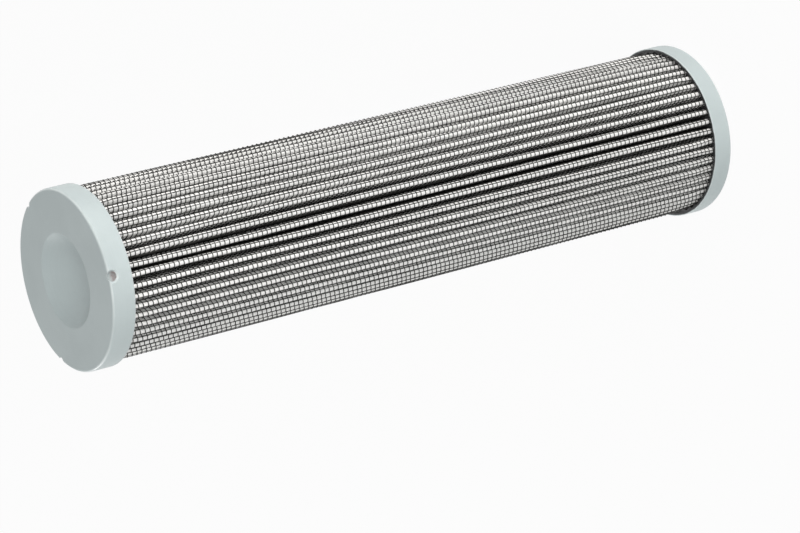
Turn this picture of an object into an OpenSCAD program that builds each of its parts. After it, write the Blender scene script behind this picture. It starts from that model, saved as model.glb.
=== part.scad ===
// Pleated hydraulic filter element: two moulded end caps bonded to a pleated pack
// of wire mesh and glass fibre, which stands round a perforated core tube.
// The element stands on its open end cap, with +Z up the axis to the closed cap
// and the origin at the centre of the open cap's outer face.

/* [Element] */
// Length over both end caps
overall_length = 330.5; // [200:0.5:600]
// Outside diameter of the end caps
cap_d = 80; // [79:0.5:95]

/* [End caps] */
// Height of the closed cap's skirt round the pleats
closed_skirt_h = 11; // [8.5:0.5:20]
// Height of the open cap's skirt round the pleats
open_skirt_h = 9.5; // [8.5:0.5:20]
// Thickness of the skirt wall
skirt_t = 1.5; // [1:0.1:1.8]
// Thickness of the cap's flat plate
cap_plate_t = 4; // [3.7:0.1:5]
// Radius of the edge between face and rim
cap_edge_r = 1.3; // [0.3:0.1:1.4]
// Radius of the edge at the skirt's free end
skirt_edge_r = 0.4; // [0.2:0.1:0.7]
// Gap between the pleat crests and the skirt, filled with adhesive
crest_gap = 0.3; // [0.2:0.1:0.6]

/* [Closed end] */
// Diameter of the dished hollow in the closed cap's face
dish_d = 41.5; // [30:0.5:42]
// Depth of the dished hollow
dish_depth = 9; // [4:0.5:12]
// Radius of the dish's rounded mouth
dish_lip_r = 1; // [0.2:0.1:1.5]
// Thickness of the dish's shell
dish_shell_t = 2; // [1.5:0.1:3]
// How far the centring ring reaches into the core tube
plug_h = 6; // [4:0.5:12]
// Wall of the centring ring
plug_t = 1.5; // [1:0.1:2.5]
// Number of ball pockets in the edge of the closed cap
pocket_count = 3; // [2:1:6]
// Diameter of a ball pocket
pocket_d = 4.4; // [2:0.1:5]
// Depth of a pocket's centre below the face
pocket_drop = 1.7; // [1:0.1:2]
// Distance of a pocket's centre inside the rim
pocket_inset = 0.4; // [0:0.1:1]
// Depth of the flared mouth of a pocket, which widens as much
pocket_flare = 0.75; // [0.2:0.05:0.9]
// Direction of the first pocket
pocket_angle = 26; // [0:1:119]

/* [Open end] */
// Diameter of the bore that takes the housing's spigot
bore_d = 32; // [24:0.5:33]
// Chamfer at the bore's mouth
bore_chamfer = 1; // [0.4:0.1:1.5]
// Height of the collar round the bore, from the cap's outer face
collar_h = 12; // [11:0.5:20]
// Width of the seal groove in the bore
groove_w = 4.4; // [4.2:0.1:5]
// Depth of the seal groove
groove_depth = 2.9; // [2.5:0.1:3.2]
// Distance of the groove's middle from the cap's outer face
groove_z = 6.5; // [5:0.1:8]
// Width of the seal as it lies squeezed in its groove
seal_w = 4; // [3.4:0.1:4.2]

/* [Core tube] */
// Outside diameter of the core tube
core_d = 45; // [44:0.5:47]
// Sheet thickness of the core tube
core_t = 0.8; // [0.5:0.1:1]
// Gap between the caps' rings and the inside of the tube
core_fit = 0.1; // [0.05:0.05:0.3]
// Diameter of a drain hole
hole_d = 5; // [3:0.5:7]
// Drain holes in one row round the tube
holes_around = 12; // [6:1:14]
// Distance between two rows of holes
hole_pitch = 10; // [9:0.5:20]
// Plain length at each end of the tube
core_plain_h = 14; // [10:1:30]

/* [Pleats] */
// Number of pleats round the pack
pleat_count = 50; // [30:1:54]
// Outside radius of a pleat's crest
crest_r = 1.6; // [1.4:0.05:1.8]
// Inside radius of the fold at a pleat's root
root_r = 0.15; // [0.1:0.05:0.25]
// Gap between the pleat roots and the core tube
root_gap = 0.2; // [0.1:0.05:0.6]
// Gap between the pleat ends and the cap's plate
pack_seat = 0.5; // [0.2:0.1:1.5]

/* [Layers] */
// Wire diameter of the outer mesh
outer_wire_d = 0.4; // [0.3:0.05:0.45]
// Thickness of the protective fleece
protective_t = 0.1; // [0.08:0.01:0.15]
// Thickness of the coarse glass fibre layer
prefilter_t = 0.15; // [0.1:0.01:0.2]
// Thickness of the fine glass fibre layer
main_filter_t = 0.2; // [0.15:0.01:0.25]
// Thickness of the support fleece
support_t = 0.1; // [0.08:0.01:0.15]
// Thickness of the inner mesh
inner_mesh_t = 0.2; // [0.15:0.01:0.25]

/* [Outer mesh] */
// Distance between two wires of the mesh
mesh_pitch = 2.35; // [2:0.05:2.6]
// Distance between a skirt's free end and the gaps in the mesh
mesh_gap_start = 2; // [0.5:0.5:10]

/* [Side seam] */
// Direction of the seam
seam_angle = 90; // [0:1:359]
// Sheet thickness of the seam's clip
clip_t = 0.5; // [0.3:0.1:0.6]
// Depth of the clip over the pleat ends, as far as the next pleats leave room for it
clip_h = 7; // [4:0.5:12]
// Smallest gap between the clip and the next pleats
clip_gap = 0.25; // [0.1:0.05:0.6]
// Gap between the clip and the mesh under it
clip_fit = 0.05; // [0.05:0.01:0.1]
// Depth of the adhesive between the two joined ends
seam_bond_h = 9; // [5:0.5:12]

/* [Adhesive] */
// Height of the adhesive in each cap
adhesive_h = 4; // [3:0.5:5]

/* [Hidden] */

// Facets of a full round, and of a drain hole
round_fn = 96;
hole_fn = 32;
// Overshoot of a cutting body past the face that it cuts, and of a mesh gap past the wires
cut = 1;
gap_cut = 0.25;
// Straight steps in a crest's arc and in a root's arc
crest_steps = 6;
root_steps = 3;

cap_r = cap_d / 2;
skirt_in_r = cap_r - skirt_t;
core_r = core_d / 2;
core_in_r = core_r - core_t;
ring_r = core_in_r - core_fit;
core_h = overall_length - 2 * cap_plate_t;

dish_r = dish_d / 2;
dish_ball_r = (pow(dish_r, 2) + pow(dish_depth, 2)) / (2 * dish_depth);
dish_ball_z = overall_length - dish_depth + dish_ball_r;

// Centre of the mouth's rounding, and the height at which it runs into the dish
lip_z = overall_length - dish_lip_r;
lip_at_r = sqrt(pow(dish_ball_r + dish_lip_r, 2) - pow(dish_ball_z - lip_z, 2));
lip_end_z = dish_ball_z - dish_ball_r * (dish_ball_z - lip_z) / (dish_ball_r + dish_lip_r);

// Radius of a pocket where its flare begins
flare_r = sqrt(pow(pocket_d / 2, 2) - pow(pocket_flare - pocket_inset, 2));

// The pack's layers, from the outside in, as offsets from its middle surface
pack_t = outer_wire_d + protective_t + prefilter_t + main_filter_t + support_t + inner_mesh_t;
o_outer = pack_t / 2;
o_protective = o_outer - outer_wire_d;
o_prefilter = o_protective - protective_t;
o_main = o_prefilter - prefilter_t;
o_support = o_main - main_filter_t;
o_inner = o_support - support_t;
o_core = -pack_t / 2;

// Crest and root circles of the pack's middle surface
pack_r = skirt_in_r - crest_gap;
pleat_angle = 360 / pleat_count;
crest_mid_r = crest_r - pack_t / 2;
root_mid_r = root_r + pack_t / 2;
crest_at_r = pack_r - crest_r;
root_at_r = core_r + root_gap + root_mid_r + pack_t / 2;
crest_c = [crest_at_r, 0];
root_c = root_at_r * [cos(pleat_angle / 2), sin(pleat_angle / 2)];

// The flank is the common tangent that passes between the two circles
reach = root_c - crest_c;
flank_normal = atan2(reach.y, reach.x) - acos((crest_mid_r + root_mid_r) / norm(reach));
crest_half = flank_normal;
root_half = 180 - flank_normal + pleat_angle / 2;

pack_z = cap_plate_t + pack_seat;
pack_h = overall_length - 2 * pack_z;
leg_end_r = pack_r - clip_t;

// The mesh's gaps lie between the two skirts
slot_z = open_skirt_h + mesh_gap_start;
slot_h = overall_length - closed_skirt_h - mesh_gap_start - slot_z;

function along(a, r) = r * [cos(a), sin(a)];
function turned(p, a) = [p.x * cos(a) - p.y * sin(a), p.x * sin(a) + p.y * cos(a)];
function reversed(list) = [for (i = [len(list) - 1 : -1 : 0]) list[i]];

// Points of one crest, and of the root that follows it, at an offset from the middle surface
function crest_points(k, o) = [
    for (i = [0 : crest_steps])
        turned(crest_c + along(crest_half * (2 * i / crest_steps - 1), crest_mid_r + o), k * pleat_angle)
];
function root_points(k, o) = [
    for (i = [0 : root_steps])
        turned(
            root_c + along(
                pleat_angle / 2 - root_half - (360 - 2 * root_half) * i / root_steps,
                root_mid_r - o
            ),
            k * pleat_angle
        )
];

// Point of the seam's flank at a distance x along the seam's direction
function flank_point(o, x) =
    let (start = crest_c + along(flank_normal, crest_mid_r + o))
    start + (x - start.x) * [1, -1 / tan(flank_normal)];
function mirrored(p) = [p.x, -p.y];

// The folded path from one end of the pack at the seam, round to the other end
function pleat_path(o) = concat(
    [flank_point(o, leg_end_r)],
    root_points(0, o),
    [for (k = [1 : pleat_count - 1]) each concat(crest_points(k, o), root_points(k, o))],
    [mirrored(flank_point(o, leg_end_r))]
);

// One layer of the pack between two offsets, over a height from z
module pleated_layer(o_from, o_to, z = pack_z, h = pack_h) {
    translate([0, 0, z])
        rotate([0, 0, seam_angle])
            linear_extrude(height = h)
                polygon(concat(pleat_path(o_from), reversed(pleat_path(o_to))));
}

// Cutter that rounds the outer edge of a disc of radius r, whose face is at z = 0
module edge_cutter(r, edge_r) {
    rotate_extrude($fn = round_fn)
        translate([r - edge_r, -edge_r])
            difference() {
                square(edge_r + cut);
                circle(r = edge_r, $fn = round_fn);
            }
}

// Plate and skirt of either cap, with the outer face at z = 0 and the skirt upwards
module cap_shell(skirt_h) {
    difference() {
        cylinder(r = cap_r, h = skirt_h, $fn = round_fn);
        translate([0, 0, cap_plate_t])
            cylinder(r = skirt_in_r, h = skirt_h, $fn = round_fn);
        mirror([0, 0, 1])
            edge_cutter(cap_r, cap_edge_r);
        translate([0, 0, skirt_h])
            edge_cutter(cap_r, skirt_edge_r);
    }
}

// Ring under the closed cap's plate that centres it in the core tube
module centring_ring() {
    ring_h = plug_h + cap_plate_t / 2;
    translate([0, 0, overall_length - cap_plate_t - plug_h])
        difference() {
            cylinder(r = ring_r, h = ring_h, $fn = round_fn);
            translate([0, 0, -cut])
                cylinder(r = ring_r - plug_t, h = ring_h + 2 * cut, $fn = round_fn);
        }
}

// Bulging shell under the dish, which closes the centring ring
module dish_shell() {
    shell_h = dish_depth + 2 * dish_shell_t;
    intersection() {
        translate([0, 0, dish_ball_z])
            sphere(r = dish_ball_r + dish_shell_t, $fn = round_fn);
        translate([0, 0, overall_length - shell_h])
            cylinder(r = ring_r - plug_t / 2, h = shell_h - cap_plate_t / 2, $fn = round_fn);
    }
}

// Cutter of the dished hollow, whose mouth is rounded
module dish_cutter() {
    translate([0, 0, dish_ball_z])
        sphere(r = dish_ball_r, $fn = round_fn);
    rotate_extrude($fn = round_fn)
        difference() {
            translate([0, lip_end_z])
                square([lip_at_r, overall_length + cut - lip_end_z]);
            translate([lip_at_r, lip_z])
                circle(r = dish_lip_r, $fn = round_fn);
        }
}

// Cutter of one ball pocket in the cap's edge, with the larger ball that flares its mouth
module pocket_cutter() {
    pocket_z = overall_length - pocket_drop;
    translate([cap_r - pocket_inset, 0, pocket_z])
        sphere(d = pocket_d, $fn = round_fn);
    translate([cap_r + flare_r, 0, pocket_z])
        sphere(r = norm([flare_r, flare_r + pocket_flare]), $fn = round_fn);
}

module closed_end_cap() {
    color([0.66, 0.70, 0.70])
        difference() {
            union() {
                translate([0, 0, overall_length])
                    mirror([0, 0, 1])
                        cap_shell(closed_skirt_h);
                centring_ring();
                dish_shell();
            }
            dish_cutter();
            for (i = [0 : pocket_count - 1])
                rotate([0, 0, pocket_angle + i * 360 / pocket_count])
                    pocket_cutter();
        }
}

// Cap with a collar round its bore, which centres it in the core tube and holds the seal
module open_end_cap() {
    bore_r = bore_d / 2;
    color([0.66, 0.70, 0.70])
        difference() {
            union() {
                cap_shell(open_skirt_h);
                translate([0, 0, cap_plate_t / 2])
                    cylinder(r = ring_r, h = collar_h - cap_plate_t / 2, $fn = round_fn);
            }
            translate([0, 0, -cut])
                cylinder(r = bore_r, h = collar_h + 2 * cut, $fn = round_fn);
            translate([0, 0, -cut])
                cylinder(
                    r1 = bore_r + bore_chamfer + cut,
                    r2 = bore_r,
                    h = bore_chamfer + cut,
                    $fn = round_fn
                );
            translate([0, 0, groove_z - groove_w / 2])
                cylinder(r = bore_r + groove_depth, h = groove_w, $fn = round_fn);
        }
}

// Seal ring as it lies squeezed between the groove's floor and the spigot
module spigot_seal() {
    half = groove_depth / 2;
    side = (seal_w - groove_depth) / 2;
    color([0.08, 0.08, 0.08])
        translate([0, 0, groove_z])
            rotate_extrude($fn = round_fn)
                translate([bore_d / 2 + half, 0]) {
                    translate([0, side])
                        circle(r = half, $fn = round_fn);
                    translate([0, -side])
                        circle(r = half, $fn = round_fn);
                    translate([-half, -side])
                        square([2 * half, 2 * side]);
                }
}

// Perforated tube, with every second row of holes turned by half a step
module core_tube() {
    hole_angle = 360 / holes_around;
    free_h = core_h - 2 * core_plain_h;
    rows = floor(free_h / hole_pitch) + 1;
    first_z = cap_plate_t + core_plain_h + (free_h - (rows - 1) * hole_pitch) / 2;
    color([0.62, 0.63, 0.64])
        difference() {
            translate([0, 0, cap_plate_t])
                cylinder(r = core_r, h = core_h, $fn = round_fn);
            translate([0, 0, cap_plate_t - cut])
                cylinder(r = core_in_r, h = core_h + 2 * cut, $fn = round_fn);
            for (row = [0 : rows - 1], i = [0 : holes_around - 1])
                rotate([0, 0, (i + (row % 2) / 2) * hole_angle])
                    translate([core_in_r - cut, 0, first_z + row * hole_pitch])
                        rotate([0, 90, 0])
                            cylinder(d = hole_d, h = core_t + 2 * cut, $fn = hole_fn);
        }
}

// One long gap in the mesh beside the wire on a crest, from the wire at angle a0 to that at a1
module mesh_gap(a0, a1) {
    inner = crest_r - outer_wire_d - gap_cut;
    outer = crest_r + gap_cut;
    polygon([
        along(a0, inner), along(a0, outer),
        along((a0 + a1) / 2, outer / cos((a1 - a0) / 2)),
        along(a1, outer), along(a1, inner)
    ]);
}

// Mesh wall that follows the folds, with a standing wire on every crest and two long gaps beside it
module outer_wire_mesh() {
    wire_half = asin(outer_wire_d / 2 / crest_r);
    wire_step = mesh_pitch / crest_r * 180 / PI;
    color([0.20, 0.20, 0.20])
        difference() {
            pleated_layer(o_outer, o_protective);
            translate([0, 0, slot_z])
                rotate([0, 0, seam_angle])
                    for (k = [1 : pleat_count - 1], side = [-1, 1])
                        rotate([0, 0, k * pleat_angle])
                            translate(crest_c)
                                linear_extrude(height = slot_h)
                                    mesh_gap(side * wire_half, side * (wire_step - wire_half));
        }
}

module protective_fleece() {
    color([0.95, 0.95, 0.93])
        pleated_layer(o_protective, o_prefilter);
}

module prefilter_layer() {
    color([0.93, 0.93, 0.90])
        pleated_layer(o_prefilter, o_main);
}

module main_filter_layer() {
    color([0.96, 0.96, 0.96])
        pleated_layer(o_main, o_support);
}

module support_fleece() {
    color([0.90, 0.90, 0.88])
        pleated_layer(o_support, o_inner);
}

module inner_wire_mesh() {
    color([0.45, 0.45, 0.45])
        pleated_layer(o_inner, o_core);
}

// Folded strip that grips the two ends of the pack and stops short of the next pleat's flank
module seam_clip() {
    inner_half = flank_point(o_outer, leg_end_r).y + clip_fit;
    outer_half = inner_half + clip_t;
    next_normal = pleat_angle - flank_normal;
    next_flank = crest_at_r * cos(flank_normal) + crest_r;
    room_r = (next_flank + clip_gap - outer_half * sin(next_normal)) / cos(next_normal);
    inside_r = max(pack_r - clip_h, room_r);
    color([0.55, 0.56, 0.57])
        translate([0, 0, pack_z])
            rotate([0, 0, seam_angle])
                linear_extrude(height = pack_h)
                    polygon([
                        [inside_r, inner_half], [inside_r, outer_half],
                        [leg_end_r, outer_half], [leg_end_r + clip_t, inner_half],
                        [leg_end_r + clip_t, -inner_half], [leg_end_r, -outer_half],
                        [inside_r, -outer_half], [inside_r, -inner_half],
                        [leg_end_r, -inner_half], [leg_end_r, inner_half]
                    ]);
}

// Strip of adhesive between the two joined ends of the pack
module seam_adhesive() {
    inside_r = leg_end_r - seam_bond_h;
    upper = [flank_point(o_core, inside_r), flank_point(o_core, leg_end_r)];
    color([0.22, 0.22, 0.23])
        translate([0, 0, pack_z])
            rotate([0, 0, seam_angle])
                linear_extrude(height = pack_h)
                    polygon(concat(upper, [mirrored(upper[1]), mirrored(upper[0])]));
}

// Ring of adhesive on the cap's plate, with the ends of the pack set in it
module adhesive_ring(z) {
    difference() {
        translate([0, 0, z])
            cylinder(r = skirt_in_r, h = adhesive_h, $fn = round_fn);
        translate([0, 0, z - cut])
            cylinder(r = core_r, h = adhesive_h + 2 * cut, $fn = round_fn);
        pleated_layer(o_outer, o_core);
        seam_clip();
        seam_adhesive();
    }
}

module closed_end_adhesive() {
    color([0.22, 0.22, 0.23])
        adhesive_ring(overall_length - cap_plate_t - adhesive_h);
}

module open_end_adhesive() {
    color([0.22, 0.22, 0.23])
        adhesive_ring(cap_plate_t);
}

closed_end_cap();
open_end_cap();
core_tube();
outer_wire_mesh();
protective_fleece();
prefilter_layer();
main_filter_layer();
support_fleece();
inner_wire_mesh();
seam_clip();
seam_adhesive();
closed_end_adhesive();
open_end_adhesive();
spigot_seal();
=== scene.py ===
"""Dresses the pleated hydraulic filter element and stages it for its picture.

The element stands on its open end cap. The woven mesh, its wires and the folded fibre layers are
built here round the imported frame, and the caps, core, clip, resin and seal keep their CAD solids.
"""

import logging
import math
from dataclasses import dataclass, field
from enum import Enum
from functools import cached_property
from typing import Any, ClassVar, Iterable, Sequence

import bpy
import numpy as np
from mathutils import Matrix, Vector


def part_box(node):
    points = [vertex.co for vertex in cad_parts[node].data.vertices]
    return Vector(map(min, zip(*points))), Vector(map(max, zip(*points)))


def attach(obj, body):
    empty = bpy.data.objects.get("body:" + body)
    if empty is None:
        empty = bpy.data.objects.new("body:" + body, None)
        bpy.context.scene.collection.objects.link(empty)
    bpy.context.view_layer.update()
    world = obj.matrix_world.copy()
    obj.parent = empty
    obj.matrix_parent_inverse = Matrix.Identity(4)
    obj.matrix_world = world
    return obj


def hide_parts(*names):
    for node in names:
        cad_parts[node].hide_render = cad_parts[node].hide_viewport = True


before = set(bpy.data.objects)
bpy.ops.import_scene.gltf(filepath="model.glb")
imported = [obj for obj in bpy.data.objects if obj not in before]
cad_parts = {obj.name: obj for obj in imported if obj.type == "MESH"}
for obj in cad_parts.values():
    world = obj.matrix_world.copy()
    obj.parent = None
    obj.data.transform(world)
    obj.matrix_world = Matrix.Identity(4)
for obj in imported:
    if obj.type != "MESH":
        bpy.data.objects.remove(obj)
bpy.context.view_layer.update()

LOG = logging.getLogger("filter_element")
BODY = "root"
SEED = 41
MM = 0.001

Node = bpy.types.Node
NodeTree = bpy.types.NodeTree
Socket = bpy.types.NodeSocket
Material = bpy.types.Material
Piece = bpy.types.Object
Colour = tuple[float, float, float, float]
Triple = tuple[float, float, float]
Band = tuple[float, float]

RISING: Band = (0.0, 1.0)
FALLING: Band = (1.0, 0.0)
# The range that most of a noise's values lie in, and the octaves and roughness of a lively noise
NOISE_BAND: Band = (0.3, 0.7)
LIVELY: Band = (4.0, 0.6)


def opaque(red: float, green: float, blue: float) -> Colour:
    """Returns an opaque linear colour from its three parts."""
    return (red, green, blue, 1.0)


def shifted(band: Band, by: float) -> Band:
    """Returns a band moved up by an amount."""
    return (band[0] + by, band[1] + by)


WHITE = opaque(1.0, 1.0, 1.0)


class Axis(Enum):
    """Which of an object's own directions a streaked finish runs along."""

    AROUND = "around"
    UP = "up"


# Node sheets


class Sheet:
    """A node tree with short ways to add and join its nodes."""

    def __init__(self, tree: NodeTree) -> None:
        """Starts an empty sheet on the tree of a material, a group or the world."""
        self.tree = tree
        self.tree.nodes.clear()

    def add(self, kind: str, inputs: dict[Any, Any] | None = None, **settings: Any) -> Node:
        """Adds a node, sets its options and fills or joins its inputs.

        Args:
            kind: The node's type, without the words ShaderNode.
            inputs: For each input's name or number, a value or another node's output socket.
            **settings: Options of the node itself.

        Returns:
            The new node.
        """
        node = self.tree.nodes.new("ShaderNode" + kind)
        for name, value in settings.items():
            setattr(node, name, value)
        for key, value in (inputs or {}).items():
            if isinstance(value, Socket):
                self.join(value, node.inputs[key])
            else:
                node.inputs[key].default_value = value
        return node

    def join(self, source: Socket, target: Socket) -> None:
        """Links an output socket to an input socket."""
        self.tree.links.new(source, target)

    def math(self, operation: str, *feeds: Any, clamp: bool = False) -> Socket:
        """Adds a Math node on values or sockets, kept between 0 and 1 where clamp is set."""
        inputs = dict(enumerate(feeds))
        return self.add("Math", inputs, operation=operation, use_clamp=clamp).outputs[0]

    def combine(self, operation: str, first: Any, *others: Any) -> Socket:
        """Joins two or more values or output sockets, one after the other.

        Args:
            operation: The Math nodes' operation.
            first: The first of them.
            *others: The others.

        Returns:
            The result's socket.
        """
        for other in others:
            first = self.math(operation, first, other)
        return first

    def product(self, *factors: Any) -> Socket:
        """Multiplies two or more values or output sockets."""
        return self.combine("MULTIPLY", *factors)

    def remap(self, value: Socket, band: Band, result: Band = RISING) -> Socket:
        """Takes a socket from the two ends of a band to those of a result, and not past them."""
        inputs = {0: value, 1: band[0], 2: band[1], 3: result[0], 4: result[1]}
        return self.add("MapRange", inputs, clamp=True).outputs[0]

    def blend(self, mask: Socket, first: Any, second: Any) -> Socket:
        """Adds a colour that goes from first to second as the mask goes from 0 to 1."""
        return self.add("Mix", {0: mask, 6: first, 7: second}, data_type="RGBA").outputs[2]

    def noise(self, place: Socket, scale: Any, octaves: float = 3.0, rough: float = 0.5) -> Socket:
        """Adds a noise, about 0.5 on average, with its scale in waves to the metre."""
        inputs = {"Vector": place, "Scale": scale, "Detail": octaves, "Roughness": rough}
        return self.add("TexNoise", inputs).outputs[0]

    def own_place(self, stretch: Triple = (1.0, 1.0, 1.0)) -> Socket:
        """Adds the object's own coordinates, stretched by a factor for each axis."""
        place = self.add("TexCoord").outputs["Object"]
        return self.add("Mapping", {"Vector": place, "Scale": stretch}).outputs[0]

    def seen_directly(self) -> Socket:
        """Adds a mask of the rays on which the white background shows.

        Returns:
            1 for camera, mirror and glass rays, and 0 for others.
        """
        path = self.add("LightPath")
        rays = ("Is Camera Ray", "Is Glossy Ray", "Is Transmission Ray")
        return self.combine("MAXIMUM", *(path.outputs[ray] for ray in rays))


class GroupSheet(Sheet):
    """The sheet of a shader group that several finishes share."""

    def __init__(self, name: str, inputs: dict[str, float], outputs: Sequence[str]) -> None:
        """Makes the group.

        Args:
            name: The group's name.
            inputs: Name and default of each value that it takes.
            outputs: Names of the values that it puts out.
        """
        super().__init__(bpy.data.node_groups.new(name, "ShaderNodeTree"))
        panel = self.tree.interface
        for label, default in inputs.items():
            socket = panel.new_socket(label, in_out="INPUT", socket_type="NodeSocketFloat")
            socket.default_value = default
        for label in outputs:
            panel.new_socket(label, in_out="OUTPUT", socket_type="NodeSocketFloat")
        self.source = self.tree.nodes.new("NodeGroupInput")
        self.sink = self.tree.nodes.new("NodeGroupOutput")

    def put_out(self, *results: Socket) -> NodeTree:
        """Joins the results to the group's outputs.

        Args:
            *results: A socket for each output, in their order.

        Returns:
            The finished group.
        """
        for number, result in enumerate(results):
            self.join(result, self.sink.inputs[number])
        return self.tree


class FinishSheet(Sheet):
    """The sheet of one finish, with its Principled shader joined to the output."""

    def __init__(self, name: str, plain: dict[str, float]) -> None:
        """Starts the material.

        Args:
            name: The material's name.
            plain: Values that are the same all over the surface, by the shader's input names.
        """
        self.material = bpy.data.materials.new(name)
        self.material.use_nodes = True
        super().__init__(self.material.node_tree)
        self.shader = self.add("BsdfPrincipled", plain)
        self.add("OutputMaterial", {"Surface": self.shader.outputs[0]})

    def effect(self, group: NodeTree, **values: float) -> bpy.types.NodeOutputs:
        """Places a shared group, with its inputs named with _ for a space, for its outputs."""
        inputs = {name.replace("_", " "): value for name, value in values.items()}
        return self.add("Group", inputs, node_tree=group).outputs

    def colour(self, tone: Socket) -> None:
        """Feeds the shader's colour."""
        self.join(tone, self.shader.inputs["Base Color"])

    def gloss(self, value: Socket) -> None:
        """Feeds the shader's roughness."""
        self.join(value, self.shader.inputs["Roughness"])

    def bump(self, height: Socket, depth: float) -> None:
        """Feeds the shader's normal from a height, where 1 stands for the depth in metres."""
        node = self.add("Bump", {"Height": height, "Distance": depth, "Strength": 1.0})
        self.join(node.outputs[0], self.shader.inputs["Normal"])


# Shared effects


@dataclass(frozen=True)
class Patches:
    """Uneven patches that break up a mask, so many to the metre, between two strengths."""

    scale: float
    band: Band
    strength: Band
    noise: Band = (3.0, 0.5)

    def lay(self, sheet: Sheet) -> Socket:
        """Adds the patches to a sheet."""
        noise = sheet.noise(sheet.own_place(), self.scale, *self.noise)
        return sheet.remap(noise, self.band, self.strength)


@dataclass(frozen=True)
class FineGrain:
    """Grain that every moulded, coated or cast surface shares."""

    broad: Band = (3.0, 0.55)
    rarity: float = 0.985
    speck_rim: Band = (0.10, 0.28)

    def make(self) -> NodeTree:
        """Makes the group.

        Returns:
            A group that takes Scale and Drift Scale, and puts out a fine Height, a broad Drift
            and rare Specks.
        """
        inputs = {"Scale": 900.0, "Drift Scale": 30.0}
        sheet = GroupSheet("fine_grain", inputs, ("Height", "Drift", "Specks"))
        scale, drift_scale = sheet.source.outputs[0], sheet.source.outputs[1]
        place = sheet.own_place()
        fine = sheet.noise(place, scale, *LIVELY)
        broad = sheet.noise(place, drift_scale, *self.broad)
        cells = sheet.add("TexVoronoi", {"Vector": place, "Scale": scale}, feature="F1")
        chance = sheet.add("SeparateColor", {0: cells.outputs["Color"]}).outputs[0]
        rare = sheet.math("GREATER_THAN", chance, self.rarity)
        near = sheet.remap(cells.outputs["Distance"], self.speck_rim, FALLING)
        return sheet.put_out(fine, broad, sheet.product(rare, near))


@dataclass(frozen=True)
class WornEdge:
    """Edges that handling has rubbed, where the true and a rounded normal part."""

    samples: int = 4
    alignment: Band = (0.90, 0.99)
    patches: Patches = Patches(700.0, (0.35, 0.6), (0.2, 1.0), LIVELY)

    def make(self) -> NodeTree:
        """Makes the group.

        Returns:
            A group that takes the Reach of the rubbing in metres, and puts out the Edge mask.
        """
        sheet = GroupSheet("worn_edge", {"Reach": 0.4 * MM}, ("Edge",))
        rounded = sheet.add("Bevel", {"Radius": sheet.source.outputs[0]}, samples=self.samples)
        normals = {0: rounded.outputs[0], 1: sheet.add("NewGeometry").outputs["Normal"]}
        align = sheet.add("VectorMath", normals, operation="DOT_PRODUCT").outputs["Value"]
        worn_and_highlit = sheet.remap(align, self.alignment, FALLING)
        return sheet.put_out(sheet.product(worn_and_highlit, self.patches.lay(sheet)))


@dataclass(frozen=True)
class LaidFibres:
    """Fibres that lie across each other in the fleece and glass layers."""

    lays: tuple[Triple, ...] = ((1.0, 1.0, 0.12), (0.25, 0.25, 1.0), (0.6, 0.6, 0.35))
    strand: Band = (3.0, 0.65)
    clouds: float = 160.0

    def make(self) -> NodeTree:
        """Makes the group.

        Returns:
            A group that takes Scale, and puts out a fibre Height and a cloudy Density.
        """
        sheet = GroupSheet("laid_fibres", {"Scale": 1600.0}, ("Height", "Density"))
        scale = sheet.source.outputs[0]
        strands = [sheet.noise(sheet.own_place(lay), scale, *self.strand) for lay in self.lays]
        highest = sheet.combine("MAXIMUM", *strands)
        return sheet.put_out(highest, sheet.noise(sheet.own_place(), self.clouds, *LIVELY))


@dataclass
class Effects:
    """The shared shader groups, each built once."""

    grain: NodeTree = field(default_factory=FineGrain().make)
    wear: NodeTree = field(default_factory=WornEdge().make)
    fibres: NodeTree = field(default_factory=LaidFibres().make)


# Finishes


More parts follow.
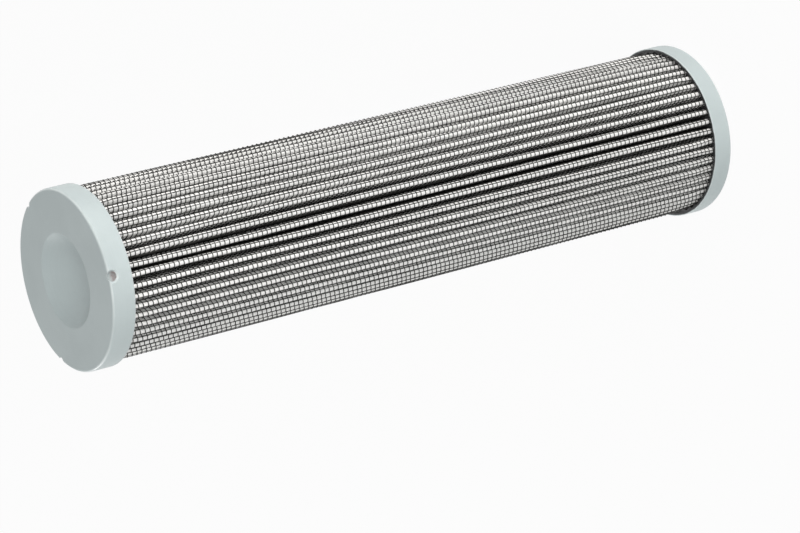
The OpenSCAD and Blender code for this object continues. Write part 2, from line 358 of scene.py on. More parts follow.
@dataclass(frozen=True)
class MouldedPlastic:
    """Satin glass-filled plastic of the end caps, pale grey with a blue cast.

    Its fields give the colours, how far each effect goes, and where on the caps the ball pockets
    with their painted shade, the rounded edge with its painted highlight and the near-black band
    inside the skirts lie, in metres in the element's own frame.
    """

    pockets: tuple[Triple, ...]
    name: str = "moulded_cap_plastic"
    body: Colour = opaque(0.494, 0.560, 0.561)
    drift: Colour = opaque(0.468, 0.531, 0.533)
    # Lighter tone for the rubbed edges and for the painted highlight on the rounded rim
    worn_and_highlit: Colour = opaque(0.720, 0.775, 0.770)
    speck: Colour = opaque(0.260, 0.270, 0.260)
    # Colour of the painted shade deep in the ball pockets
    pocket_shade: Colour = opaque(0.275, 0.232, 0.225)
    # Near-black colour of the band inside the skirts and on their free ends
    dark_band: Colour = opaque(0.040, 0.040, 0.042)
    roughness: Band = (0.40, 0.46)
    polish: float = 0.12
    # How far the rubbed edges and the painted rim highlight go towards that lighter tone
    worn_and_highlit_share: float = 0.8
    speck_share: float = 0.35
    drift_band: Band = (0.35, 0.65)
    edge_reach: float = 0.5 * MM
    grain_depth: float = 0.02 * MM
    ring_scale: float = 1500.0
    ring_noise: Band = (3.0, 0.6)
    ring_tone: float = 1.2
    ring_height: float = 0.3
    pocket_radius: float = 2.2 * MM
    pocket_margin: Band = (0.02 * MM, 0.12 * MM)
    # Where the painted shade in the pockets lies and how it is broken up
    pocket_shade_level: Band = (-0.9 * MM, 0.6 * MM)
    pocket_shade_left: float = 0.05
    pocket_shade_patches: Patches = Patches(900.0, (0.3, 0.65), (0.6, 1.0))
    # Where the painted highlight lies on the rounded rim, by radius and by slope
    rounding: Band = (38.5 * MM, 38.8 * MM)
    slope_rise: Band = (0.30, 0.60)
    slope_fall: Band = (0.80, 0.97)
    rim_highlight_patches: Patches = Patches(45.0, (0.35, 0.58), (0.4, 1.0))
    # Where the near-black band lies inside the skirts and on their free ends
    dark_band_reach: Band = (39.35 * MM, 39.75 * MM)
    dark_band_from: float = 25.0 * MM
    dark_band_between: Band = (2.0 * MM, 326.0 * MM)
    dark_band_patches: Patches = Patches(260.0, NOISE_BAND, (-0.2 * MM, 0.2 * MM))

    def place_round(self, sheet: Sheet) -> tuple[Socket, Socket]:
        """Adds a point's distance from the element's axis, and its height.

        Args:
            sheet: The material's sheet.

        Returns:
            The distance's socket and the height's socket.
        """
        place = sheet.add("TexCoord").outputs["Object"]
        across = {0: place, 1: (1.0, 1.0, 0.0)}
        flat = sheet.add("VectorMath", across, operation="MULTIPLY").outputs[0]
        radius = sheet.add("VectorMath", {0: flat}, operation="LENGTH").outputs["Value"]
        return radius, sheet.add("SeparateXYZ", {0: place}).outputs[2]

    def painted_rim_highlight(self, sheet: Sheet) -> Socket:
        """Adds the mask of the painted highlight on the cap's rounded outer edge, which handling
        has also polished.

        Args:
            sheet: The material's sheet.

        Returns:
            1 on the middle of the rounding, and 0 on the face and the rim.
        """
        normal = sheet.add("TexCoord").outputs["Normal"]
        upright = sheet.add("SeparateXYZ", {0: normal}).outputs[2]
        slope = sheet.math("ABSOLUTE", upright)
        radius = self.place_round(sheet)[0]
        outside = sheet.remap(radius, self.rounding)
        rise = sheet.remap(slope, self.slope_rise)
        fall = sheet.remap(slope, self.slope_fall, FALLING)
        return sheet.product(outside, self.rim_highlight_patches.lay(sheet), rise, fall)

    def painted_pocket_shade(self, sheet: Sheet) -> Socket:
        """Adds the mask of painted shade in the ball pockets, most of it deep, away from the face.

        Args:
            sheet: The material's sheet.

        Returns:
            1 in a pocket and 0 outside, broken up a little.
        """
        place = sheet.add("TexCoord").outputs["Object"]
        height = self.place_round(sheet)[1]
        away = [
            sheet.add("VectorMath", {0: place, 1: spot}, operation="DISTANCE").outputs["Value"]
            for spot in self.pockets
        ]
        nearest = sheet.combine("MINIMUM", *away)
        inside = sheet.remap(nearest, shifted(self.pocket_margin, self.pocket_radius), FALLING)
        level = shifted(self.pocket_shade_level, self.pockets[0][2])
        deep = sheet.remap(height, level, (1.0, self.pocket_shade_left))
        return sheet.product(inside, self.pocket_shade_patches.lay(sheet), deep)

    def dark_skirt_band(self, sheet: Sheet) -> Socket:
        """Adds the mask of a near-black band on the inside of the skirt and its free end.

        Args:
            sheet: The material's sheet.

        Returns:
            1 on the band, and 0 on the outside of the cap.
        """
        radius, height = self.place_round(sheet)
        beyond = sheet.math("SUBTRACT", radius, self.dark_band_patches.lay(sheet))
        inner = sheet.remap(beyond, self.dark_band_reach, FALLING)
        outer = sheet.math("GREATER_THAN", radius, self.dark_band_from)
        above = sheet.math("GREATER_THAN", height, self.dark_band_between[0])
        below = sheet.math("LESS_THAN", height, self.dark_band_between[1])
        return sheet.product(inner, outer, above, below)

    def mould_rings(self, sheet: Sheet) -> Socket:
        """Adds faint rings round the axis, which the turned mould has left.

        Args:
            sheet: The material's sheet.

        Returns:
            A value round 0.5.
        """
        radius, height = self.place_round(sheet)
        rings = sheet.add("CombineXYZ", {0: radius, 1: height}).outputs[0]
        return sheet.noise(rings, self.ring_scale, *self.ring_noise)

    def make(self, effects: Effects) -> Material:
        """Makes the material.

        Args:
            effects: The shared groups.

        Returns:
            The plastic, with drifting tone, rubbed edges and a painted highlight on the rounded
            rim, moulding grain, painted shade in the pockets and a near-black band inside the
            skirts.
        """
        sheet = FinishSheet(self.name, {"Specular IOR Level": 0.45})
        grain = sheet.effect(effects.grain, Scale=1400.0, Drift_Scale=38.0)
        wear = sheet.effect(effects.wear, Reach=self.edge_reach)
        # Rubbed edges joined with the painted highlight on the rounded rim
        worn_and_highlit = sheet.math("MAXIMUM", wear["Edge"], self.painted_rim_highlight(sheet))
        rings = self.mould_rings(sheet)
        broad = sheet.remap(grain["Drift"], self.drift_band)
        even = sheet.math("SUBTRACT", rings, 0.5)
        drift = sheet.math("MULTIPLY_ADD", even, self.ring_tone, broad, clamp=True)
        tone = sheet.blend(drift, self.body, self.drift)
        tone = sheet.blend(sheet.product(worn_and_highlit, self.worn_and_highlit_share), tone, self.worn_and_highlit)
        specks = sheet.product(grain["Specks"], self.speck_share)
        tone = sheet.blend(specks, tone, self.speck)
        # Painted shade in the ball pockets, darkest deep down
        tone = sheet.blend(self.painted_pocket_shade(sheet), tone, self.pocket_shade)
        # Near-black band inside the skirts and on their free ends
        sheet.colour(sheet.blend(self.dark_skirt_band(sheet), tone, self.dark_band))
        satin = sheet.remap(grain["Drift"], NOISE_BAND, self.roughness)
        sheet.gloss(sheet.math("SUBTRACT", satin, sheet.product(worn_and_highlit, self.polish)))
        ridges = sheet.product(rings, self.ring_height)
        sheet.bump(sheet.math("ADD", grain["Height"], ridges), self.grain_depth)
        return sheet.material


@dataclass(frozen=True)
class DarkSkin:
    """A dark coat or moulded skin, slightly uneven, with a veil of dust that comes and goes.

    Its gloss follows the grain's output that gloss_from names.
    """

    name: str
    body: Colour
    dusty: Colour
    specular: float
    scales: tuple[float, float]
    dust_band: Band
    dust_share: Band
    gloss_from: str
    roughness: Band
    grain_depth: float

    def make(self, effects: Effects) -> Material:
        """Makes the material.

        Args:
            effects: The shared groups.

        Returns:
            The skin, dustier in stretches.
        """
        sheet = FinishSheet(self.name, {"Specular IOR Level": self.specular})
        grain = sheet.effect(effects.grain, Scale=self.scales[0], Drift_Scale=self.scales[1])
        dust = sheet.remap(grain["Drift"], self.dust_band, self.dust_share)
        sheet.colour(sheet.blend(dust, self.body, self.dusty))
        sheet.gloss(sheet.remap(grain[self.gloss_from], NOISE_BAND, self.roughness))
        sheet.bump(grain["Height"], self.grain_depth)
        return sheet.material


@dataclass(frozen=True)
class FibreFelt:
    """Matt white felt of bonded or glass fibres."""

    name: str
    body: Colour
    thin: Colour
    scale: float
    cloud_band: Band = (0.35, 0.65)
    cloud_share: float = 0.4
    strand_band: Band = (0.45, 0.75)
    strand_share: float = 0.35
    fibre_depth: float = 0.08 * MM

    def make(self, effects: Effects) -> Material:
        """Makes the material.

        Args:
            effects: The shared groups.

        Returns:
            The felt, with laid fibres and cloudy density.
        """
        sheet = FinishSheet(self.name, {"Roughness": 0.95, "Specular IOR Level": 0.2})
        fibres = sheet.effect(effects.fibres, Scale=self.scale)
        clouds = sheet.remap(fibres["Density"], self.cloud_band)
        strands = sheet.remap(fibres["Height"], self.strand_band, FALLING)
        cloudy = sheet.product(clouds, self.cloud_share)
        between = sheet.product(strands, self.strand_share)
        thinness = sheet.math("ADD", cloudy, between, clamp=True)
        sheet.colour(sheet.blend(thinness, self.body, self.thin))
        sheet.bump(fibres["Height"], self.fibre_depth)
        return sheet.material


@dataclass(frozen=True)
class SheetSteel:
    """Galvanised or plain rolled steel, with streaks along the way it was rolled."""

    name: str
    body: Colour
    shade: Colour
    streaks: Axis
    bright: Colour = opaque(0.85, 0.85, 0.86)
    bright_share: float = 0.4
    streak_scale: float = 1500.0
    spangle_scale: float = 260.0
    shares: Band = (0.6, 0.35)
    gloss_share: float = 0.4
    gloss_band: Band = (0.4, 1.0)
    roughness: Band = (0.28, 0.48)
    edge_reach: float = 0.25 * MM
    grain_share: float = 0.5
    streak_depth: float = 0.015 * MM

    STRETCH: ClassVar[dict[Axis, Triple]] = {
        Axis.UP: (1.0, 1.0, 0.03),
        Axis.AROUND: (0.12, 0.12, 1.0),
    }

    def make(self, effects: Effects) -> Material:
        """Makes the material.

        Args:
            effects: The shared groups.

        Returns:
            The steel, with rolling streaks, spangle and bright edges.
        """
        sheet = FinishSheet(self.name, {"Metallic": 1.0})
        lengthwise = sheet.own_place(self.STRETCH[self.streaks])
        streak = sheet.noise(lengthwise, self.streak_scale, *LIVELY)
        cells = {"Vector": sheet.own_place(), "Scale": self.spangle_scale}
        spangle = sheet.add("TexVoronoi", cells, feature="F1")
        flake = sheet.add("SeparateColor", {0: spangle.outputs["Color"]}).outputs[0]
        grain = sheet.effect(effects.grain, Scale=1800.0, Drift_Scale=70.0)
        wear = sheet.effect(effects.wear, Reach=self.edge_reach)
        shares = (sheet.product(streak, self.shares[0]), sheet.product(flake, self.shares[1]))
        tone = sheet.blend(sheet.math("ADD", *shares, clamp=True), self.body, self.shade)
        edges = sheet.product(wear["Edge"], self.bright_share)
        sheet.colour(sheet.blend(edges, tone, self.bright))
        dull = sheet.math("ADD", streak, sheet.product(flake, self.gloss_share))
        sheet.gloss(sheet.remap(dull, self.gloss_band, self.roughness))
        fine = sheet.product(grain["Height"], self.grain_share)
        sheet.bump(sheet.math("ADD", streak, fine), self.streak_depth)
        return sheet.material


@dataclass(frozen=True)
class CastResin:
    """Dark cast adhesive that holds the pleats, with a wet skin and small bubbles."""

    name: str = "cast_resin"
    body: Colour = opaque(0.045, 0.045, 0.047)
    bubble: Colour = opaque(0.110, 0.110, 0.112)
    drift_share: Band = (0.0, 0.5)
    roughness: Band = (0.22, 0.4)
    sag_depth: float = 0.25 * MM

    def make(self, effects: Effects) -> Material:
        """Makes the material.

        Args:
            effects: The shared groups.

        Returns:
            The resin, with drifting tone and pale bubbles.
        """
        sheet = FinishSheet(self.name, {"Coat Weight": 0.5, "Coat Roughness": 0.15})
        grain = sheet.effect(effects.grain, Scale=600.0, Drift_Scale=90.0)
        drift = sheet.remap(grain["Drift"], NOISE_BAND, self.drift_share)
        pale = sheet.math("ADD", drift, grain["Specks"], clamp=True)
        sheet.colour(sheet.blend(pale, self.body, self.bubble))
        sheet.gloss(sheet.remap(grain["Drift"], NOISE_BAND, self.roughness))
        sheet.bump(grain["Drift"], self.sag_depth)
        return sheet.material


@dataclass(frozen=True)
class FineMesh:
    """Bare fine wire cloth of the inner mesh, woven in the bump of a folded wall."""

    name: str = "fine_wire_cloth"
    wire: Colour = opaque(0.42, 0.42, 0.42)
    gap: Colour = opaque(0.16, 0.16, 0.16)
    weave_scale: float = 260.0
    roughness: Band = (0.3, 0.5)
    wire_depth: float = 0.08 * MM

    def make(self, effects: Effects) -> Material:
        """Makes the material.

        Args:
            effects: The shared groups.

        Returns:
            The cloth, with standing and level wires.
        """
        sheet = FinishSheet(self.name, {"Metallic": 1.0})
        inputs = {"Vector": sheet.own_place(), "Scale": self.weave_scale}
        waves = [sheet.add("TexWave", inputs, bands_direction=way).outputs[1] for way in "XYZ"]
        cloth = sheet.math("MAXIMUM", sheet.product(waves[0], waves[1]), waves[2])
        grain = sheet.effect(effects.grain, Scale=2200.0, Drift_Scale=90.0)
        sheet.colour(sheet.blend(cloth, self.gap, self.wire))
        sheet.gloss(sheet.remap(grain["Height"], NOISE_BAND, self.roughness))
        sheet.bump(cloth, self.wire_depth)
        return sheet.material


# The folded pack


def unit(angle: float) -> np.ndarray:
    """Returns the flat unit vector at an angle."""
    return np.array([math.cos(angle), math.sin(angle)])


def turned(point: np.ndarray, angle: float) -> np.ndarray:
    """Returns a flat point turned about the origin."""
    c, s = math.cos(angle), math.sin(angle)
    return np.array([point[0] * c - point[1] * s, point[0] * s + point[1] * c])


def arc(centre: np.ndarray, radius: float, angles: Iterable[float]) -> list[np.ndarray]:
    """Returns an arc's flat points at the given angles."""
    return [centre + radius * unit(angle) for angle in angles]


@dataclass(frozen=True)
class FoldPath:
    """A folded path seen along the element's axis, as arrays with a row for each point.

    Each point has its flat place, the number of its pleat, and how far up its pleat it lies, from
    0 at the root to 1 at the crest.
    """

    place: np.ndarray
    pleat: np.ndarray
    lift: np.ndarray

    def lengths(self) -> np.ndarray:
        """Returns the distance along the path to each point."""
        steps = np.linalg.norm(np.diff(self.place, axis=0), axis=1)
        return np.concatenate(([0.0], np.cumsum(steps)))


@dataclass
class PleatSection:
    """Section of the folded pack, with the sizes of the real folds in metres.

    The crests and roots are arcs about fixed centres, and a flank is the tangent between them, so
    every layer of the pack follows the same path at its own offset. The rows of points stand at
    the held distances from each end, and evenly between them. The resin holds the pleats up to
    the second of these distances, and from the last one on they sway freely.
    """

    core_radius: float
    low: float
    high: float
    pack_radius: float = 38.2 * MM
    count: int = 50
    crest_radius: float = 1.6 * MM
    root_radius: float = 0.15 * MM
    root_gap: float = 0.2 * MM
    thickness: float = 1.15 * MM
    clip_thickness: float = 0.5 * MM
    seam_angle: float = math.pi / 2
    sway_reach: float = 0.5 * MM
    pinch: float = 0.45 * MM
    lean_shares: Triple = (0.5, 0.3, 0.2)
    slow_waves: Band = (1.1, 0.4)
    quick_waves: Band = (2.6, 0.6)
    held: tuple[float, ...] = (0.0, 4.5 * MM, 7.0 * MM, 10.0 * MM, 14.0 * MM)
    free_rows: int = 12

    def __post_init__(self) -> None:
        """Works out the arcs and the tangent between them."""
        self.step = 2 * math.pi / self.count
        self.crest_mid = self.crest_radius - self.thickness / 2
        self.root_mid = self.root_radius + self.thickness / 2
        self.crest_at = self.pack_radius - self.crest_radius
        self.root_at = self.core_radius + self.root_gap + self.root_mid + self.thickness / 2
        self.crest_centre = self.crest_at * unit(0.0)
        self.root_centre = self.root_at * unit(self.step / 2)
        reach = self.root_centre - self.crest_centre
        tangent = math.acos((self.crest_mid + self.root_mid) / float(np.linalg.norm(reach)))
        self.normal = math.atan2(reach[1], reach[0]) - tangent

    @cached_property
    def levels(self) -> np.ndarray:
        """Heights of the pack's rows of points, closer together beside the caps."""
        ends = np.array(self.held)
        middle = np.linspace(self.low + ends[-1], self.high - ends[-1], self.free_rows)
        return np.concatenate((self.low + ends[:-1], middle, self.high - ends[-2::-1]))

    @cached_property
    def freedom(self) -> np.ndarray:
        """How freely the pleats stand at each level, from 0 in the resin to 1."""
        inside = np.minimum(self.levels - self.low, self.high - self.levels)
        hold = np.clip((inside - self.held[1]) / (self.held[-1] - self.held[1]), 0.0, 1.0)
        return hold * hold * (3 - 2 * hold)

    @cached_property
    def sway(self) -> np.ndarray:
        """How far each crest stands aside.

        A crest leans by a share of its own and waves slowly and quickly up its height, but not
        inside the caps or at the seam. Each kind of wave has a mean number and a spread.

        Returns:
            A row for each level and a column for each pleat.
        """
        rng = np.random.default_rng(SEED)
        own, slow, fast, turn = rng.uniform(-1.0, 1.0, (4, self.count))
        part = 2 * math.pi * ((self.levels - self.low) / (self.high - self.low))[:, None]
        slowly = np.sin((self.slow_waves[0] + self.slow_waves[1] * fast) * part + math.pi * slow)
        quickly = np.sin((self.quick_waves[0] + self.quick_waves[1] * slow) * part + math.pi * turn)
        shares = self.lean_shares
        lean = shares[0] * own + shares[1] * slowly + shares[2] * quickly
        lean[:, 0] = 0.0
        return self.sway_reach * self.freedom[:, None] * lean

    def leg_point(self, offset: float) -> np.ndarray:
        """Finds where the seam's flank ends under the clip.

        Args:
            offset: Distance outwards from the pack's middle surface.

        Returns:
            The flat point.
        """
        start = self.crest_centre + (self.crest_mid + offset) * unit(self.normal)
        rise = self.pack_radius - self.clip_thickness - start[0]
        return start + rise * np.array([1.0, -1.0 / math.tan(self.normal)])

    def path(self, offset: float, crest_steps: int, root_steps: int) -> FoldPath:
        """Follows the folds from one end of the pack to the other.

        Args:
            offset: Distance outwards from the pack's middle surface.
            crest_steps: Straight steps in a crest's arc.
            root_steps: Straight steps in a root's arc.

        Returns:
            The path.
        """
        turns = [self.normal * (2 * i / crest_steps - 1) for i in range(crest_steps + 1)]
        crest = arc(self.crest_centre, self.crest_mid + offset, turns)
        root_half = math.pi - self.normal + self.step / 2
        sweep = 2 * math.pi - 2 * root_half
        start = self.step / 2 - root_half
        turns = [start - sweep * i / root_steps for i in range(root_steps + 1)]
        root = arc(self.root_centre, self.root_mid - offset, turns)
        leg = self.leg_point(offset)
        points = [leg]
        pleats = [0]
        for k in range(self.count):
            run = root if k == 0 else crest + root
            points += [turned(point, k * self.step) for point in run]
            pleats += [k] * len(run)
        points.append(leg * np.array([1.0, -1.0]))
        pleats.append(0)
        place = np.array([turned(point, self.seam_angle) for point in points])
        radius = np.linalg.norm(place, axis=1)
        lift = np.clip((radius - self.root_at) / (self.crest_at - self.root_at), 0.0, 1.0)
        return FoldPath(place, np.array(pleats), lift)

    def swayed(self, path: FoldPath, height: np.ndarray) -> np.ndarray:
        """Places a path's points at given heights.

        Each pleat leans a little to its side, and the caps pinch the crests inwards.

        Args:
            path: The path, one point to a row.
            height: Height of each point.

        Returns:
            One row of x, y and z for each point.
        """
        row = np.clip(np.searchsorted(self.levels, height) - 1, 0, len(self.levels) - 2)
        part = (height - self.levels[row]) / (self.levels[row + 1] - self.levels[row])
        lean = self.sway[row, path.pleat] * (1 - part) + self.sway[row + 1, path.pleat] * part
        draw = self.pinch * (np.interp(height, self.levels, self.freedom) - 1.0)
        angle = path.pleat * self.step + self.seam_angle
        outwards = np.column_stack((np.cos(angle), np.sin(angle)))
        aside = np.column_stack((-np.sin(angle), np.cos(angle)))
        flat = path.place + path.lift[:, None] * (lean[:, None] * aside + draw[:, None] * outwards)
        return np.column_stack((flat, height))


def put_in_scene(data: Any, name: str, material: Material) -> Piece:
    """Makes an object for a mesh or curve, with its material, and links it.

    Args:
        data: The mesh or curve.
        name: The object's name.
        material: Its finish.

    Returns:
        The new object.
    """
    data.materials.append(material)
    piece = bpy.data.objects.new(name, data)
    bpy.context.scene.collection.objects.link(piece)
    return piece


@dataclass
class FoldedLayer:
    """One closed, folded sheet of the pack between two offsets."""

    name: str
    outer: float
    inner: float
    crest_steps: int = 6
    root_steps: int = 3
    sharp_angle: float = math.radians(50)

    def build(self, section: PleatSection, material: Material) -> Piece:
        """Builds the sheet's mesh.

        Args:
            section: The pack's section.
            material: Its finish.

        Returns:
            The sheet's object.
        """
        outside = section.path(self.outer, self.crest_steps, self.root_steps)
        inside = section.path(self.inner, self.crest_steps, self.root_steps)
        n = len(outside.place)
        rows = []
        for z in section.levels:
            height = np.full(n, z)
            rows.append(section.swayed(outside, height))
            rows.append(section.swayed(inside, height)[::-1])
        loop = 2 * n
        top = (len(section.levels) - 1) * loop
        faces = []
        for row in range(0, top, loop):
            for i in range(loop):
                after = (i + 1) % loop
                faces.append((row + i, row + after, row + loop + after, row + loop + i))
        for i in range(n - 1):
            faces.append((i, loop - 1 - i, loop - 2 - i, i + 1))
            faces.append((top + i, top + i + 1, top + loop - 2 - i, top + loop - 1 - i))
        mesh = bpy.data.meshes.new(self.name)
        mesh.from_pydata(np.vstack(rows).tolist(), [], faces)
        mesh.shade_smooth()
        mesh.set_sharp_from_angle(angle=self.sharp_angle)
        return put_in_scene(mesh, self.name, material)


@dataclass
class WireCloth:
    """The outer mesh, woven in round wires that follow the folds.

    Steps are the straight steps that a wire takes in a crest's arc and in a root's. The three
    spreads say how far, as a rule, the wires stand from their even places.
    """

    section: PleatSection
    pitch: float = 2.35 * MM
    wire: float = 0.43 * MM
    weave: float = 0.02 * MM
    level_steps: tuple[int, int] = (6, 1)
    standing_steps: tuple[int, int] = (12, 4)
    pleat_spread: float = 0.05 * MM
    level_spread: float = 0.04 * MM
    standing_spread: float = 0.12 * MM
    skew: float = 1.6 * MM
    skew_waves: int = 3
    bays: int = 3

    @property
    def offset(self) -> float:
        """Offset of the wires' middle from the pack's middle surface."""
        return self.section.thickness / 2 - self.wire / 2 - self.weave

    def wire_curve(self, name: str, routes: Iterable[np.ndarray]) -> bpy.types.Curve:
        """Draws round wires along their routes.

        Args:
            name: The curve's name.
            routes: For each wire, its points.

        Returns:
            The curve with one spline for each wire.
        """
        curve = bpy.data.curves.new(name, "CURVE")
        curve.dimensions = "3D"
        curve.twist_mode = "Z_UP"
        curve.bevel_depth = self.wire / 2
        curve.bevel_resolution = 0
        curve.use_fill_caps = True
        for route in routes:
            spline = curve.splines.new("POLY")
            spline.points.add(len(route) - 1)
            spline.points.foreach_set("co", np.column_stack((route, np.ones(len(route)))).ravel())
            spline.use_smooth = True
        return curve

    def level_routes(self) -> list[np.ndarray]:
        """Routes the wires that run round the pack.

        Returns:
            For each wire, its points, from the bottom up.
        """
        section = self.section
        path = section.path(self.offset + self.weave, *self.level_steps)
        rng = np.random.default_rng(SEED)
        uneven = rng.normal(0.0, self.pleat_spread, section.count + 1)
        count = int((section.high - section.low) / self.pitch)
        start = (section.low + section.high - (count - 1) * self.pitch) / 2
        routes = []
        for j in range(count):
            own = rng.normal(0.0, self.level_spread)
            height = start + j * self.pitch + own + uneven[path.pleat] * path.lift
            routes.append(section.swayed(path, height))
        return routes

    def standing_routes(self) -> list[np.ndarray]:
        """Routes the wires that run up the folds.

        Returns:
            For each wire, its points, round the pack.
        """
        path = self.section.path(self.offset - self.weave, *self.standing_steps)
        along = path.lengths()
        rng = np.random.default_rng(SEED + 1)
        heights = self.section.levels
        part = (heights - heights.mean()) / (heights[-1] - heights[0])
        smoothing = np.ones(3) / 3
        routes = []
        for at in np.arange(self.pitch / 2, along[-1] - self.pitch / 4, self.pitch):
            steps = rng.normal(0.0, self.standing_spread, len(heights) + len(smoothing) - 1)
            wander = np.convolve(steps, smoothing, "valid")
            skew = self.skew * math.sin(2 * math.pi * self.skew_waves * at / along[-1])
            there = np.clip(at + skew * part + wander, 0.0, along[-1])
            index = np.clip(np.searchsorted(along, there) - 1, 0, len(along) - 2)
            place = np.column_stack([np.interp(there, along, path.place[:, c]) for c in (0, 1)])
            spot = FoldPath(place, path.pleat[index], np.interp(there, along, path.lift))
            routes.append(self.section.swayed(spot, heights))
        return routes

    def build(self, material: Material) -> list[Piece]:
        """Builds the level wires in bays up the element, and the standing wires.

        Args:
            material: The wires' finish.

        Returns:
            The pieces.
        """
        level = self.level_routes()
        size = math.ceil(len(level) / self.bays)
        bundles = {
            f"mesh_level_wires_{bay + 1}": level[bay * size:(bay + 1) * size]
            for bay in range(self.bays)
        }
        bundles["mesh_standing_wires"] = self.standing_routes()
        return [
            put_in_scene(self.wire_curve(name, routes), name, material)
            for name, routes in bundles.items()
        ]


@dataclass
class PleatPack:
    """The folded pack: outer wire cloth, three fibre layers, support fleece and inner mesh.

    The layers are listed from the outside in, with each one's node, thickness and record slot.
    """

    effects: Effects
    section: PleatSection
    mesh_depth: float = 0.40 * MM

    EPOXY: ClassVar[DarkSkin] = DarkSkin(
        "coated_wire", body=opaque(0.024, 0.024, 0.022), dusty=opaque(0.058, 0.058, 0.054),
        specular=0.25, scales=(2500.0, 120.0), dust_band=(0.4, 0.7), dust_share=RISING,
        gloss_from="Height", roughness=(0.42, 0.58), grain_depth=0.02 * MM,
    )
    FLEECE: ClassVar[FibreFelt] = FibreFelt(
        "bonded_fleece", body=opaque(0.91, 0.91, 0.89), thin=opaque(0.83, 0.83, 0.81), scale=1500.0
    )
    GLASS: ClassVar[FibreFelt] = FibreFelt(
        "glass_felt", body=opaque(0.88, 0.89, 0.88), thin=opaque(0.76, 0.77, 0.77), scale=2300.0
    )
    LAYERS: ClassVar[tuple[tuple[str, float, str], ...]] = (
        ("protective_fleece", 0.10 * MM, "white_fleece"),
        ("prefilter_layer", 0.15 * MM, "glass_fibre"),
        ("main_filter_layer", 0.20 * MM, "glass_fibre"),
        ("support_fleece", 0.10 * MM, "white_fleece"),
        ("inner_wire_mesh", 0.20 * MM, "inner_mesh_wire"),
    )

    def finishes(self) -> dict[str, Material]:
        """Returns the finish of each material slot in the pack."""
        return {
            "white_fleece": self.FLEECE.make(self.effects),
            "glass_fibre": self.GLASS.make(self.effects),
            "inner_mesh_wire": FineMesh().make(self.effects),
            "coated_mesh": self.EPOXY.make(self.effects),
        }

    def build(self) -> None:
        """Builds and declares every layer, from the outside in."""
        finishes = self.finishes()
        for piece in WireCloth(self.section).build(finishes["coated_mesh"]):
            declare(piece, "coated_mesh", "outer_wire_mesh")
        outer = self.section.thickness / 2 - self.mesh_depth
        for node, depth, slot in self.LAYERS:
            layer = FoldedLayer(node.replace("_", "-"), outer, outer - depth)
            piece = layer.build(self.section, finishes[slot])
            declare(piece, slot, node)
            outer -= depth


def declare(piece: Piece, slot: str, *nodes: str) -> None:
    """Tells the frame what a new piece rides on and stands for.

    Args:
        piece: The new piece.
        slot: The record's material slot; not used.
        *nodes: CAD nodes that it replaces.
    """
    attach(piece, BODY)
    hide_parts(*nodes)
    LOG.info("built %s", piece.name)


@dataclass
class HardParts:
    """The pieces that keep their CAD solids."""

    effects: Effects
    pocket_turns: tuple[float, ...] = (26.0, 146.0, 266.0)
    pocket_out: float = 39.6 * MM
    pocket_drop: float = 1.7 * MM

    CORE: ClassVar[SheetSteel] = SheetSteel(
        "galvanised_core", opaque(0.62, 0.63, 0.64), opaque(0.42, 0.43, 0.45), Axis.AROUND
    )
    CLIP: ClassVar[SheetSteel] = SheetSteel(
        "seam_strip_steel", opaque(0.50, 0.50, 0.51), opaque(0.33, 0.33, 0.34), Axis.UP
    )
    RUBBER: ClassVar[DarkSkin] = DarkSkin(
        "seal_rubber", body=opaque(0.014, 0.014, 0.015), dusty=opaque(0.060, 0.060, 0.058),
        specular=0.4, scales=(1600.0, 110.0), dust_band=(0.45, 0.75), dust_share=(0.0, 0.8),
        gloss_from="Drift", roughness=(0.42, 0.62), grain_depth=0.03 * MM,
    )

    def pocket_centres(self) -> tuple[Triple, ...]:
        """Finds the centres of the ball pockets in the closed cap's edge.

        Returns:
            A place for each pocket.
        """
        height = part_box("closed_end_cap")[1].z - self.pocket_drop
        spots = [self.pocket_out * unit(math.radians(turn)) for turn in self.pocket_turns]
        return tuple((float(x), float(y), height) for x, y in spots)

    def dress(self) -> None:
        """Dresses caps, core tube, clip, adhesive and seal."""
        plastic = MouldedPlastic(self.pocket_centres()).make(self.effects)
        resin = CastResin().make(self.effects)
        finishes = {
            "closed_end_cap": plastic,
            "open_end_cap": plastic,
            "core_tube": self.CORE.make(self.effects),
            "seam_clip": self.CLIP.make(self.effects),
            "seam_adhesive": resin,
            "closed_end_adhesive": resin,
            "open_end_adhesive": resin,
            "spigot_seal": self.RUBBER.make(self.effects),
        }
        for node, material in finishes.items():
            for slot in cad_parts[node].material_slots:
                slot.material = material
            LOG.info("dressed %s", node)


# The studio


@dataclass(frozen=True)
class SoftBox:
    """A soft light aimed at the middle of the element, with its directions in degrees."""

    name: str
    azimuth: float
    elevation: float
    width: float
    height: float
    power: float
    tint: Triple = WHITE[:3]
    distance: float = 1.8
    aim: Triple = (0.0, 0.0, 0.17)

    def build(self) -> None:
        """Adds the light, which the camera itself doesn't see."""
        lamp = bpy.data.lights.new(self.name, "AREA")
        lamp.shape = "RECTANGLE"
        lamp.size = self.width
        lamp.size_y = self.height
        lamp.energy = self.power
        lamp.color = self.tint
        turn, lift = math.radians(self.azimuth), math.radians(self.elevation)
        level = math.cos(lift)
        way = Vector((math.cos(turn) * level, math.sin(turn) * level, math.sin(lift)))
        box = bpy.data.objects.new(self.name, lamp)
        box.location = Vector(self.aim) + self.distance * way
        box.rotation_euler = way.to_track_quat("Z", "Y").to_euler()
        box.visible_camera = False
        bpy.context.scene.collection.objects.link(box)


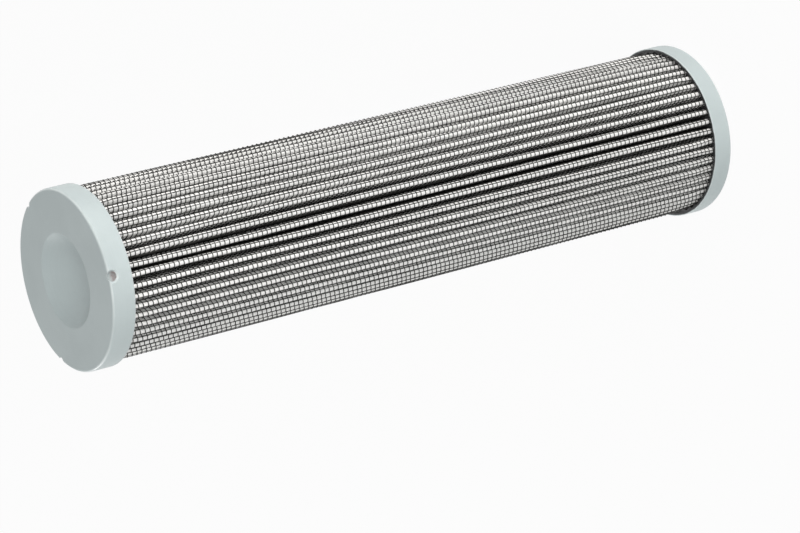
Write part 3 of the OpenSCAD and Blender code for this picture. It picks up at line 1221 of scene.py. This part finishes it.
@dataclass(frozen=True)
class PhotoCamera:
    """The photograph's camera, turned so that the standing element lies as it does there.

    Its place is in radii of the end cap, and right and up are the picture's own directions.
    """

    right: Triple = (-0.23993, -0.51313, -0.82410)
    up: Triple = (0.97058, -0.10893, -0.21475)
    place: Triple = (0.0737, -34.1646, 25.2200)
    focal_pixels: float = 3591.4
    image_width: float = 800.0
    sensor: float = 36.0
    clip: Band = (0.05, 60.0)

    def build(self, cap_radius: float) -> None:
        """Adds the camera.

        Args:
            cap_radius: The end cap's radius in metres.
        """
        data = bpy.data.cameras.new("camera")
        data.sensor_width = self.sensor
        data.lens = self.sensor * self.focal_pixels / self.image_width
        data.clip_start, data.clip_end = self.clip
        camera = bpy.data.objects.new("camera", data)
        right, up = Vector(self.right), Vector(self.up)
        turn = Matrix((right, up, right.cross(up))).transposed().to_4x4()
        camera.matrix_world = Matrix.Translation(Vector(self.place) * cap_radius) @ turn
        bpy.context.scene.collection.objects.link(camera)
        bpy.context.scene.camera = camera


@dataclass
class Studio:
    """Pale floor, white background, soft lights and the photograph's camera."""

    cap_radius: float
    floor_reach: float = 12.0
    floor_colour: Colour = opaque(0.86, 0.86, 0.86)
    shadow_share: float = 0.07
    room_strength: float = 0.47

    LAMPS: ClassVar[tuple[SoftBox, ...]] = (
        SoftBox("key_light", azimuth=-41.0, elevation=0.0, width=1.7, height=0.28, power=20.5,
                tint=(1.0, 0.97, 0.95)),
        SoftBox("front_light", azimuth=-86.0, elevation=33.0, width=1.3, height=1.3, power=12.6,
                distance=2.6),
        SoftBox("side_light", azimuth=-120.0, elevation=30.0, width=0.9, height=0.9, power=5.2),
        SoftBox("back_light", azimuth=140.0, elevation=8.0, width=1.2, height=0.6, power=8.5),
    )

    def floor(self) -> None:
        """Adds the floor, which shows white to the camera and keeps a soft shadow."""
        material = bpy.data.materials.new("pale_floor")
        material.use_nodes = True
        sheet = Sheet(material.node_tree)
        diffuse = sheet.add("BsdfDiffuse", {"Color": self.floor_colour})
        glow = sheet.add("Emission", {"Color": WHITE, "Strength": 1.0})
        share = sheet.product(sheet.seen_directly(), 1.0 - self.shadow_share)
        mix = sheet.add("MixShader", {0: share, 1: diffuse.outputs[0], 2: glow.outputs[0]})
        sheet.add("OutputMaterial", {"Surface": mix.outputs[0]})
        reach = self.floor_reach
        corners = [(x * reach, y * reach, 0.0) for x, y in ((-1, -1), (1, -1), (1, 1), (-1, 1))]
        mesh = bpy.data.meshes.new("floor")
        mesh.from_pydata(corners, [], [(0, 1, 2, 3)])
        put_in_scene(mesh, "floor", material)

    def world(self) -> None:
        """Adds the even light of the room, white where the camera or a reflection sees it."""
        world = bpy.data.worlds.new("studio")
        bpy.context.scene.world = world
        world.use_nodes = True
        sheet = Sheet(world.node_tree)
        room = sheet.add("Background", {"Color": WHITE, "Strength": self.room_strength})
        white = sheet.add("Background", {"Color": WHITE, "Strength": 1.0})
        backgrounds = {0: sheet.seen_directly(), 1: room.outputs[0], 2: white.outputs[0]}
        mix = sheet.add("MixShader", backgrounds)
        sheet.add("OutputWorld", {"Surface": mix.outputs[0]})

    def build(self) -> None:
        """Builds the whole studio."""
        self.floor()
        self.world()
        PhotoCamera().build(self.cap_radius)
        for lamp in self.LAMPS:
            lamp.build()
        bpy.context.scene.view_settings.view_transform = "Standard"
        LOG.info("built the studio")


def main() -> None:
    """Builds the element's sub-assemblies in order, then the studio."""
    logging.basicConfig(level=logging.INFO, format="%(name)s: %(message)s")
    cap_low, cap_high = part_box("closed_end_cap")
    core_low, core_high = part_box("core_tube")
    pack_low, pack_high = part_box("protective_fleece")
    effects = Effects()
    core_radius = (core_high.x - core_low.x) / 2
    section = PleatSection(core_radius, low=pack_low.z, high=pack_high.z)
    PleatPack(effects, section).build()
    HardParts(effects).dress()
    Studio(cap_radius=(cap_high.x - cap_low.x) / 2).build()
    LOG.info("sizes written")


if __name__ == "__main__":
    main()
